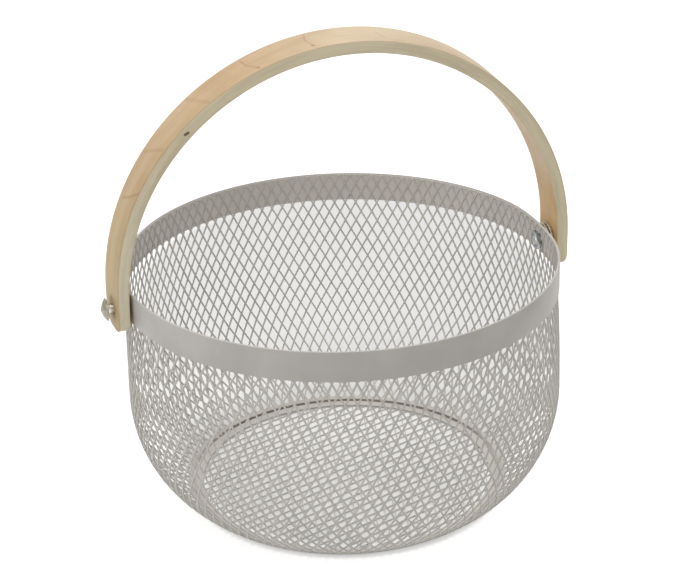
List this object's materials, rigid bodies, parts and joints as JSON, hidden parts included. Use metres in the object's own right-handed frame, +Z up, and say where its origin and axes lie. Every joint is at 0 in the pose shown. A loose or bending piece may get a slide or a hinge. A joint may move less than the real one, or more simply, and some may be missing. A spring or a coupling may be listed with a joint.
{
  "type": "onion basket",
  "caption": "Round expanded-steel basket with a strip rim and a folding bentwood handle, for onions and other dry vegetables.",
  "frame": {"origin": "on the floor, at the centre of the round base", "axes": "+X along the handle's pivot axis towards its right pivot, +Y away from the side that the handle leans to, +Z up"},
  "size_m": [0.2822, 0.252, 0.2775],
  "materials": {
    "wall_mesh": "satin warm-grey powder coat",
    "rim_band": "satin warm-grey powder coat",
    "base_mesh": "satin warm-grey powder coat",
    "base_ring": "satin warm-grey powder coat",
    "handle": "matt pale birch",
    "pivot_screw": "bright zinc plate",
    "nut": "bright zinc plate",
    "washer": "bright zinc plate"
  },
  "bodies": {
    "basket": {"wall_mesh": "wall_mesh", "rim_band": "rim_band", "base_mesh": "base_mesh", "base_ring": "base_ring", "pivot_screw_left": "pivot_screw", "pivot_screw_right": "pivot_screw", "nut_left": "nut", "nut_right": "nut", "inner_washer_left": "washer", "inner_washer_right": "washer", "band_washer_left": "washer", "band_washer_right": "washer", "handle_washer_left": "washer", "handle_washer_right": "washer"},
    "handle": {"handle": "handle"}
  },
  "joints": [
    {"name": "handle_hinge", "type": "hinge", "parent": "basket", "child": "handle", "pos_m": [0, 0, 0.134], "axis": [1, 0, 0], "range_deg": [-107, 104]}
  ]
}
